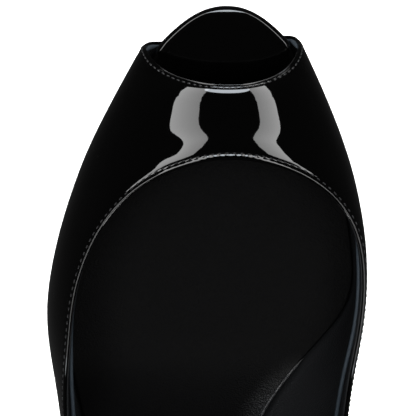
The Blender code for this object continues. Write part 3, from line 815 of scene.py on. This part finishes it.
class StitchRow:
    """A row of stitches along one edge of the upper, and the trough that it draws into the leather."""

    def __init__(self, band, end, order, closed):
        self.end = end
        self.inset = np.full((len(band.line), 1), STITCH_INSET[end])
        self.depth = np.full_like(self.inset, TROUGH_DEPTH[end])
        self.spread = np.full_like(self.inset, TROUGH_SPREAD[end][0])
        from_low, from_top = self.inset, band.climb[:, -1:]
        if end == TOP:
            self.inset += (SIDE_INSET - self.inset) * smooth_step(band.line, *SIDE_LINES)[:, None]
            shallow = smooth_step(band.line, *SHALLOW_LINES)[:, None]
            self.depth += (SIDE_DEPTH - self.depth) * shallow
            self.spread += (SIDE_SPREAD - self.spread) * shallow
            from_low, from_top = np.full_like(self.inset, TOE_BEND_SPAN), self.inset
        points, normals = band.place(band.level_at(self.inset, end))
        level = WALL + throat_swell(band, points, from_top) - self.depth
        path, normals = lay_face(band, points, normals, from_low, level)
        order_closed = np.append(order, order[0]) if closed else order
        self.path, self.normals = path[order_closed, 0], normals[order_closed, 0]
        self.lengths = run_along(self.path)
        self.count = int(self.lengths[-1] / STITCH_PITCH[end])
        self.pitch = self.lengths[-1] / self.count
        self.phase, self.weight = np.zeros(len(band.line)), np.zeros(len(band.line))
        self.phase[order] = self.lengths[: len(order)] / self.pitch
        self.weight[order] = 1

    def trough(self, distance):
        """Depth drawn in at distances from the edge, deeper between the stitches."""
        pucker = self.weight * (1 + PUCKER[self.end] * np.cos(2 * math.pi * self.phase))
        away = distance - self.inset
        spread = np.where(away > 0, self.spread, TROUGH_SPREAD[self.end][1])
        return self.depth * pucker[:, None] * bell(away, spread)

    def at(self, values, places):
        """Values of the row's points at distances run along it."""
        return np.stack([np.interp(places, self.lengths, values[:, axis]) for axis in range(3)], axis=-1)


def throat_swell(band, points, from_top):
    """Soft ridge in the vamp, in front of the throat's stitching, and the hollow where it runs out."""
    beside = (points[..., 0] - band.last.spine_x(band.top_station(0))) / SWELL_WIDTH
    fade = (1 - smooth_step(band.line, *SWELL_LINES))[:, None] / (1 + beside**2)
    ridge = THROAT_SWELL * fade * bell(from_top - SWELL_PLACE, SWELL_SPREAD)
    away = (points[..., :2] - HOLLOW_PLACE) / HOLLOW_SPREAD
    return ridge - HOLLOW * np.exp(-np.sum(away**2, axis=-1))


def build_leather(band, toe_row, top_row, material):
    """Patent leather of the upper, with rounded edges at the topline and the toe opening."""
    points, normals, from_low, from_top = band.skin(LOW_ROWS, BETWEEN_ROWS, TOP_ROWS)
    drawn = toe_row.trough(from_low) + top_row.trough(from_top)
    level = WALL + throat_swell(band, points, from_top) - drawn
    outer, _ = lay_face(band, points, normals, from_low, level)
    points, normals, from_low, _ = band.skin(INNER_ROWS, INNER_BETWEEN_ROWS, INNER_ROWS)
    inner, _ = lay_face(band, points, normals, from_low, LEATHER_INNER)
    points, normals, off = topline_edge(band)
    swell = throat_swell(band, points[:, None], np.full((len(points), 1), TOP_ROWS[0]))
    over = edge_roll((points + normals * swell, normals, off), WALL, LEATHER_INNER, 0)
    under = edge_roll(toe_edge(band), WALL, LEATHER_INNER, 0)
    section = np.concatenate([outer, over, inner[:, ::-1], under[:, ::-1]], axis=1)
    faces = grid_faces(len(section), section.shape[1], True, True)
    make_piece("upper_leather", section, faces, material, "upper")


def build_lining(band, material):
    """Leather lining: a cut edge just below the folded one, a soft roll, then close to the last."""
    points, normals, from_low, from_top = band.skin(LINING_ROWS, BETWEEN_ROWS, LINING_ROWS)
    depth = LINING_INNER + (LINING_EDGE - LINING_INNER) * (1 - smooth_step(from_top, *LINING_SETTLE))
    roll = LINING_ROLL * bell(from_top - LINING_ROLL_PLACE, LINING_ROLL_SPREAD)
    inner, _ = lay_face(band, points, normals, from_low, depth - roll)
    outer_rows = INNER_ROWS + LINING_RECESS
    points, normals, from_low, _ = band.skin(outer_rows, INNER_BETWEEN_ROWS, outer_rows)
    outer, _ = lay_face(band, points, normals, from_low, LINING_OUTER)
    over = edge_roll(topline_edge(band), LINING_OUTER, LINING_EDGE, LINING_RECESS)
    under = edge_roll(toe_edge(band), LINING_OUTER, LINING_INNER, LINING_RECESS)
    section = np.concatenate([inner, over[:, ::-1], outer[:, ::-1], under], axis=1)
    faces = grid_faces(len(section), section.shape[1], True, True)
    make_piece("upper_lining", section, faces, material, "upper")


def build_bead(name, path, normals, radius, taper, material, slot):
    """A round bead along a path, thinning out towards its ends."""
    across = unit(np.cross(normals, unit(np.gradient(path, axis=0))))
    length = run_along(path)
    from_end = np.minimum(length, length[-1] - length)
    thick = radius * smooth_step(from_end, -BEAD_END * taper, taper)[:, None]
    turns = 2 * math.pi * np.arange(BEAD_SIDES) / BEAD_SIDES
    points = arc_points(path, thick, normals, across, turns)
    make_piece(name, points, tube_faces(len(path), BEAD_SIDES), material)


def edge_path(band, end, order, inset, offset):
    """Path and normals along some lines, at an inset from an edge and an offset from the last."""
    inset = np.full((len(band.line), 1), inset)
    from_low = inset if end == LOW else np.full_like(inset, TOE_BEND_SPAN)
    points, normals = band.place(band.level_at(inset, end))
    path, normals = lay_face(band, points, normals, from_low, offset)
    return path[order, 0], normals[order, 0]


def build_tapes(band, patent):
    """Tape inside the topline and in the toe opening's corners, and piping under the opening's edge; the
    tapes' light bluish greys are painted highlights.
    """
    # painted highlight: the topline tape's light bluish grey stands in for the cool light reflected off the
    # lining's roll
    tape = grained_leather("tape_painted_highlight", TAPE_HIGHLIGHT_GREY, roughness=0.5, gloss=0.2, grain=0.3)
    offset = TAPE_OFFSET - TAPE_DRIFT * smooth_step(band.line, *WAIST_LINES)[:, None]
    path = edge_path(band, TOP, band.ring[band.line >= TAPE_START], TAPE_INSET, offset)
    build_bead("lining_tape_topline", *path, TAPE_RADIUS, TAPE_TAPER, tape, "sock")
    # painted highlight: the corner tapes' light bluish grey stands in for the cool front light reflected
    # off the lining's turned edge in the toe opening's corners
    corner_highlight_tape = grained_leather("corner_tape_painted_highlight", CORNER_HIGHLIGHT_GREY, roughness=0.5, gloss=0.3, grain=0.3)
    corner = (band.line >= CORNER_LINES[0]) & (band.line <= CORNER_LINES[1])
    for side, name in SIDE_NAMES.items():
        path = edge_path(band, LOW, band.ring[corner & (band.side == side)], *CORNER_TAPE)
        build_bead(f"lining_tape_toe_{name}", *path, CORNER_RADIUS, TAPE_TAPER, corner_highlight_tape, "sock")
    path = edge_path(band, LOW, band.toe_lines(TOE_PIPING_SHARE), *TOE_PIPING)
    build_bead("toe_piping", *path, TOE_PIPING_RADIUS, TAPE_TAPER, patent, "patent")


def build_stitches(name, row, material):
    """A row of sunk stitches, as one mesh."""
    step = 0.05
    middles = (np.arange(row.count) + 0.5) * row.pitch
    places = middles[:, None] + STITCH_RINGS * STITCH_LENGTH / 2
    centre, up = row.at(row.path, places), unit(row.at(row.normals, places))
    forward = unit(row.at(row.path, places + step) - row.at(row.path, places - step))
    sideways = unit(np.cross(up, forward))
    thickness = THREAD_RADIUS * np.sqrt(np.maximum(1 - STITCH_RINGS**STITCH_BLUNTNESS, STITCH_TIP))
    lift = THREAD_RADIUS * (STITCH_LIFT[row.end] - STITCH_DIVE * STITCH_RINGS**DIVE_POWER)
    turns = 2 * math.pi * np.arange(STITCH_SIDES) / STITCH_SIDES
    points = arc_points(centre + up * lift[:, None], thickness[:, None], sideways, up, turns)
    size = len(STITCH_RINGS) * STITCH_SIDES
    stitch = tube_faces(len(STITCH_RINGS), STITCH_SIDES)
    faces = []
    for first in range(0, row.count * size, size):
        faces += [[corner + first for corner in face] for face in stitch]
    make_piece(name, points, faces, material)


# Insole and sole


def plate_outline(last, start, end):
    """Closed outline of the last's bottom in plan, and the point of the spine that each point closes to."""
    part = np.arange(PLATE_POINTS + 1) / PLATE_POINTS
    stations = start + (end - start) * part ** (2 if start == 0 else 1)
    heart = np.clip(stations, start + HEART_MARGIN, end - HEART_MARGIN)
    spine = np.stack(last.plan(LATERAL, heart, 0 * heart), axis=-1)
    sides = [np.stack(last.plan(side, stations, last.outline(side, stations)), axis=-1) for side in SIDES]
    front, back = crossing(sides[1][0], sides[0][0]), crossing(sides[0][-1], sides[1][-1])
    first, final = (0 if len(front) else 1), (None if len(back) else -1)
    outline = np.concatenate([sides[0], back, sides[1][first:final][::-1], front])
    fans = [spine[-1:].repeat(len(back), 0), spine[first:final][::-1], spine[:1].repeat(len(front), 0)]
    return outline, np.concatenate([spine, *fans])


def crossing(first, final):
    """Points straight across the end of a plate, none where its sides already meet."""
    count = int(np.linalg.norm(final - first))
    part = np.arange(1, count)[:, None] / max(count, 1)
    return first + (final - first) * part


def inward(outline):
    """Unit normals of an outline in plan, pointing into it."""
    along = np.roll(outline, -1, axis=0) - np.roll(outline, 1, axis=0)
    return unit(np.stack([-along[:, 1], along[:, 0]], axis=-1))


def plate_mesh(last, outline, targets, profile, steps, top_shape):
    """A plate that follows the sole's bend: loops from under its middle, round its edge, over its top."""
    normals = inward(outline)
    loops = []

    def add_loop(plan, above):
        loops.append(np.column_stack([plan, last.level(plan[:, 1], above)]))

    edges = [(outline + normals * np.reshape(depth, (-1, 1)), above) for depth, above in profile]
    under, bottom = edges[0]
    for step in range(steps):
        add_loop(targets + (under - targets) * step / steps, bottom)
    for plan, above in edges:
        shaped = min((above - bottom) / (SHAPED_LEVEL - bottom), 1)
        add_loop(plan, above + top_shape(plan, 0) * shaped)
    over, top = edges[-1]
    for step in range(1, steps + 1):
        part = step / steps
        plan = over + (targets - over) * part
        add_loop(plan, top + top_shape(plan, part))
    points = np.stack(loops, axis=1)
    return points, grid_faces(len(points), len(loops), True, False)


def rounded_top(inset, top, width, height):
    """Profile of an edge that rolls over into the top."""
    turns = math.pi / 2 * np.arange(ROUND_STEPS + 1) / ROUND_STEPS
    return [(inset + width * (1 - math.cos(turn)), top - height * (1 - math.sin(turn))) for turn in turns]


def flat_top(plan, part):
    """A plain top."""
    return 0 * plan[:, 0]


def lip_top(plan, part):
    """The lip bends down towards its tip."""
    sag = LIP_SAG * np.maximum(1 - plan[:, 1] / LIP_SAG_END, 0) ** 2
    return -sag - LIP_DROOP * np.maximum(1 - plan[:, 1] / LIP_DROOP_END, 0) ** 3


def sock_top(plan, part):
    """Padding: the sock swells a little towards its middle, and its edge falls off at the arch."""
    arch = smooth_step(plan[:, 1], *ARCH) * smooth_step(plan[:, 0], *ARCH_SIDE)
    crown = SOCK_CROWN * smooth_step(part, 0, CROWN_SHARE)
    return crown - ARCH_FALL * arch * max(1 - part / ARCH_SHARE, 0) ** 2


def build_lip(last, material):
    """Front of the insole, covered in patent, that shows in the toe opening."""
    outline, targets = plate_outline(last, 0, LIP_END - GAP)
    inset = INSOLE_INSET * smooth_step(outline[:, 1], PEEP_SIDE, TOE_EDGE_CREST)
    inset = inset - LIP_REACH * (1 - smooth_step(outline[:, 1], 0, LIP_REACH_END))
    rebate = inset + (CORE_INSET - inset) * smooth_step(outline[:, 1], LIP_REBATE, LIP_REBATE + GAP)
    foot = [(np.maximum(rebate, LIP_FOOT), INSOLE_BOTTOM), (rebate, LAST_BOTTOM + GAP)]
    profile = foot + rounded_top(inset, INSOLE_TOP, *LIP_ROLL)
    points, faces = plate_mesh(last, outline, targets, profile, PLATE_LOOPS, lip_top)
    make_piece("insole_lip", points, faces, material, "insole")


def build_sock(last, material):
    """Padded matt covering of the insole behind the lip."""
    outline, targets = plate_outline(last, LIP_END, last.back)
    foot = [(CORE_INSET, INSOLE_BOTTOM), (CORE_INSET, LAST_BOTTOM + GAP), (INSOLE_INSET, RIM_BOTTOM)]
    profile = foot + rounded_top(INSOLE_INSET, INSOLE_TOP, *SOCK_ROLL)
    points, faces = plate_mesh(last, outline, targets, profile, SOCK_LOOPS, sock_top)
    sock = make_piece("insole_sock", points, faces, material, "insole")
    polish_sock(last, sock)


def polish_sock(last, sock):
    """Marks how polished the sock is: most at its medial edge, along the arch."""
    x, y, _ = (np.array([vertex.co for vertex in sock.data.vertices]) / MM + ORIGIN).T
    from_edge = x - last.spine_x(y) + last.outline(MEDIAL, y)
    polish = (1 - smooth_step(from_edge, 0, POLISH_WIDTH)) * smooth_step(y, *POLISH_RANGE)
    sock.data.attributes.new(POLISH, "FLOAT", "POINT").data.foreach_set("value", polish)


def build_piping(last, material):
    """Piping along the sock's edge, round the heel from one side of the arch to the other."""
    overhang = -INSOLE_INSET - PIPING_INSET
    path = last.rim(PIPING_START, 2 * PLATE_POINTS, overhang, INSOLE_TOP - PIPING_SUNK)
    up = np.broadcast_to(UP, path.shape)
    build_bead("sock_piping", path, up, PIPING_RADIUS, PIPING_TAPER, material, "sock")


def build_outsole(last, material):
    """Thin sole with rounded edges, from the toe to just behind the front of the heel."""
    outline, targets = plate_outline(last, 0, BREAST + SOLE_TUCK)
    rounded = 1 - smooth_step(outline[:, 1], BREAST - SOLE_SQUARE, BREAST)
    profile = [((SOLE_INSET + depth) * rounded, above) for depth, above in SOLE_EDGE]
    points, faces = plate_mesh(last, outline, targets, profile, PLATE_LOOPS, flat_top)
    make_piece("outsole_leather", points, faces, material, "outsole")


# Heel


def taper(height, sharpness):
    """1 at the seat, 0 at the tip, leaving the seat without a kink."""
    return height**sharpness * (1 + sharpness * (1 - height))


def tip_round(count):
    """Points of the normalised D of the heel's tip, from its lateral front corner to its medial one."""
    turn = math.pi * np.linspace(0, 1, count)
    sideways = np.sign(np.cos(turn)) * np.abs(np.cos(turn)) ** TIP_ROUNDNESS
    return np.stack([sideways, np.abs(np.sin(turn)) ** TIP_ROUNDNESS], axis=-1)


def build_heel(last, material):
    """Slim heel under a seat that follows the sole's slope, drawn down to a small D-shaped tip."""
    rim = last.rim({LATERAL: BREAST, MEDIAL: BREAST}, HEEL_SIDE_POINTS + 1, SEAT_OVERHANG, SOLE)
    part = np.arange(1, HEEL_FRONT_POINTS) / HEEL_FRONT_POINTS
    seat = np.concatenate([rim, rim[-1] + (rim[0] - rim[-1]) * part[:, None]])
    tip = np.concatenate([tip_round(len(rim)), np.stack([2 * part - 1, 0 * part], axis=-1)])
    centre_x = float(last.spine_x(last.back))
    half_seat = np.abs(rim[:, 0] - centre_x).max()
    seat_back = rim[:, 1].max()
    foot, tip_back = TIP_HEIGHT + GAP, TIP_FRONT + TIP_LENGTH
    sections = []
    for height in 1 - np.linspace(0, 1, HEEL_ROWS) ** HEEL_ROW_POWER:
        half = TIP_WIDTH / 2 + (half_seat - TIP_WIDTH / 2) * taper(height, TAPER_SIDES)
        back = tip_back + (seat_back - tip_back) * taper(height, TAPER_BACK)
        breast = TIP_FRONT - (TIP_FRONT - BREAST) * taper(height, TAPER_BREAST)
        hollow = BREAST_HOLLOW * 4 * height * (1 - height) * taper(height, TAPER_BACK)
        sideways = height * (seat[:, 0] - centre_x) / half_seat + (1 - height) * tip[:, 0]
        along = height * (seat[:, 1] - BREAST) / (seat_back - BREAST) + (1 - height) * tip[:, 1]
        bow = hollow * (1 - along) ** 4 * (1 - np.minimum(sideways**2, 1))
        x = centre_x + half * sideways
        y = breast + (back - breast) * along + bow
        sections.append(np.column_stack([x, y, foot + (seat[:, 2] - foot) * height]))
    points = np.stack(sections, axis=1)
    faces = block_faces(len(seat), HEEL_ROWS)
    heel = make_piece("heel_cover", points, faces, material, "heel")
    round_edges(heel, HEEL_EDGE)


def build_tip(last, material):
    """Top piece: the small block that the heel stands on."""
    shape = tip_round(TIP_POINTS)
    x = float(last.spine_x(last.back)) + TIP_WIDTH / 2 * shape[:, 0]
    y = TIP_FRONT + TIP_LENGTH * shape[:, 1]
    levels = 0, TIP_HEIGHT / 2, TIP_HEIGHT
    points = np.stack([np.column_stack([x, y, np.full(TIP_POINTS, z)]) for z in levels], axis=1)
    faces = block_faces(TIP_POINTS, len(levels))
    tip = make_piece("heel_top_piece", points, faces, material, "heel_tip")
    round_edges(tip, TIP_EDGE)


def round_edges(piece, width):
    """Rounds a piece's sharp edges."""
    bevel = piece.modifiers.new("edges", "BEVEL")
    bevel.width = width * MM
    bevel.segments = BEVEL_STEPS
    bevel.limit_method = "ANGLE"
    bevel.angle_limit = SHARP_ANGLE
    bevel.harden_normals = True


# Studio


def build_camera():
    """Camera straight above the toe, with the toe at the top of the frame."""
    data = bpy.data.cameras.new("camera")
    data.sensor_width = SENSOR
    data.lens = SENSOR * (CAMERA_HEIGHT - FOCUS_HEIGHT) / FRAME_WIDTH
    camera = bpy.data.objects.new("camera", data)
    camera.location = world([(*FRAME_CENTRE, CAMERA_HEIGHT)])[0]
    camera.rotation_euler = (0, 0, math.pi)
    bpy.context.scene.collection.objects.link(camera)
    bpy.context.scene.camera = camera


def build_light(name, centre, size, target, radiance, colour=WHITE):
    """A soft box facing a target, with a given brightness."""
    data = bpy.data.lights.new(name, "AREA")
    data.shape = "RECTANGLE"
    data.size, data.size_y = size
    data.energy = radiance * math.pi * size[0] * size[1]
    data.color = colour
    light = bpy.data.objects.new(name, data)
    light.location = centre
    light.rotation_euler = (Vector(target) - Vector(centre)).to_track_quat("-Z", "Y").to_euler()
    light.visible_camera = False
    bpy.context.scene.collection.objects.link(light)
    return light


def grade_light(light, first, final):
    """Lets a strip's brightness change across it, from its edge at the lower x to the other."""
    light.data.use_nodes = True
    tree = light.data.node_tree
    place = tree.nodes.new("ShaderNodeNewGeometry")
    across = add_axis(tree, place.outputs["Parametric"], "X")
    tree.links.new(add_spread(tree, across, first, final), tree.nodes["Emission"].inputs["Strength"])


def build_lights():
    """Two graded strips overhead, two boxes behind the shoe, a cool panel in front and a fill above."""
    (out, back, height), *box = BACK_BOX
    for side, name in SIDE_NAMES.items():
        near, far = STRIP_EDGES[side]
        x, y = side * (near + far) / 2, (STRIP_FRONT[side] + STRIP_BACK) / 2
        size = far - near, STRIP_BACK - STRIP_FRONT[side]
        strip = build_light(f"strip_{name}", (x, y, STRIP_HEIGHT), size, (x, y, 0), STRIP_RADIANCE)
        grade_light(strip, *STRIP_GRADE[::side])
        build_light(f"back_{name}", (side * out, back, height), *box)
    panel = build_light("front_panel", *FRONT_PANEL, COOL)
    panel.data.shape = "ELLIPSE"
    fill = build_light("overhead_fill", *OVERHEAD_FILL)
    fill.visible_glossy = False


def build_floor():
    """Plain pale floor, bright enough to stay white, with only a faint shadow at the shoe."""
    glow = {"Emission_Color": (*WHITE, 1), "Emission_Strength": FLOOR_GLOW}
    material, _, _ = new_material("floor", FLOOR_GREY, Roughness=0.9, **glow)
    bpy.ops.mesh.primitive_plane_add(size=FLOOR_SIZE)
    floor = bpy.context.object
    floor.name = "floor"
    floor.data.materials.append(material)
    floor.visible_glossy = False


def build_world():
    """White backdrop for the camera, and a dim room for what the leather reflects, lighter at the back."""
    room = bpy.data.worlds.new("room")
    room.use_nodes = True
    tree = room.node_tree
    place = tree.nodes.new("ShaderNodeTexCoord")
    direction = place.outputs["Generated"]
    upward = add_spread(tree, add_axis(tree, direction, "Z"), WALL_GREY, CEILING_GREY)
    backward = add_spread(tree, add_axis(tree, direction, "Y"), 0, BACK_GREY, BACK_START)
    grey = tree.nodes.new("ShaderNodeMath")
    tree.links.new(upward, grey.inputs[0])
    tree.links.new(backward, grey.inputs[1])
    ray = tree.nodes.new("ShaderNodeLightPath")
    mix = tree.nodes.new("ShaderNodeMix")
    mix.data_type = "RGBA"
    mix.inputs["B"].default_value = (*WHITE, 1)
    tree.links.new(grey.outputs["Value"], mix.inputs["A"])
    tree.links.new(ray.outputs["Is Camera Ray"], mix.inputs["Factor"])
    tree.links.new(mix.outputs["Result"], tree.nodes["Background"].inputs["Color"])
    bpy.context.scene.world = room


def build_shoe():
    """All pieces of the shoe, from the upper down to the heel's tip."""
    last = Last()
    band = Band(last)
    patent = patent_leather("patent_leather", coat_roughness=0.02)
    sock = sock_leather()
    lining = grained_leather("lining_leather", LINING_BLACK, roughness=0.4, gloss=0.2, grain=0.6)
    toe_row = StitchRow(band, LOW, band.toe_lines(TOE_ROW_SHARE), closed=False)
    top_row = StitchRow(band, TOP, band.ring, closed=True)
    build_leather(band, toe_row, top_row, patent)
    build_lining(band, lining)
    build_tapes(band, patent)
    build_stitches("stitching_toe", toe_row, thread("toe_thread", gloss=0.7))
    build_stitches("stitching_topline", top_row, thread("topline_thread", gloss=0.2))
    build_lip(last, patent_leather("lip_patent", coat_roughness=0.07))
    build_sock(last, sock)
    piping = grained_leather("piping_leather", PIPING_BLACK, roughness=0.3, gloss=0.9, grain=0.3)
    build_piping(last, piping)
    build_outsole(last, sole_leather())
    build_heel(last, patent)
    build_tip(last, tip_rubber())


build_shoe()
build_camera()
build_lights()
build_floor()
build_world()
bpy.context.scene.view_settings.view_transform = "Standard"
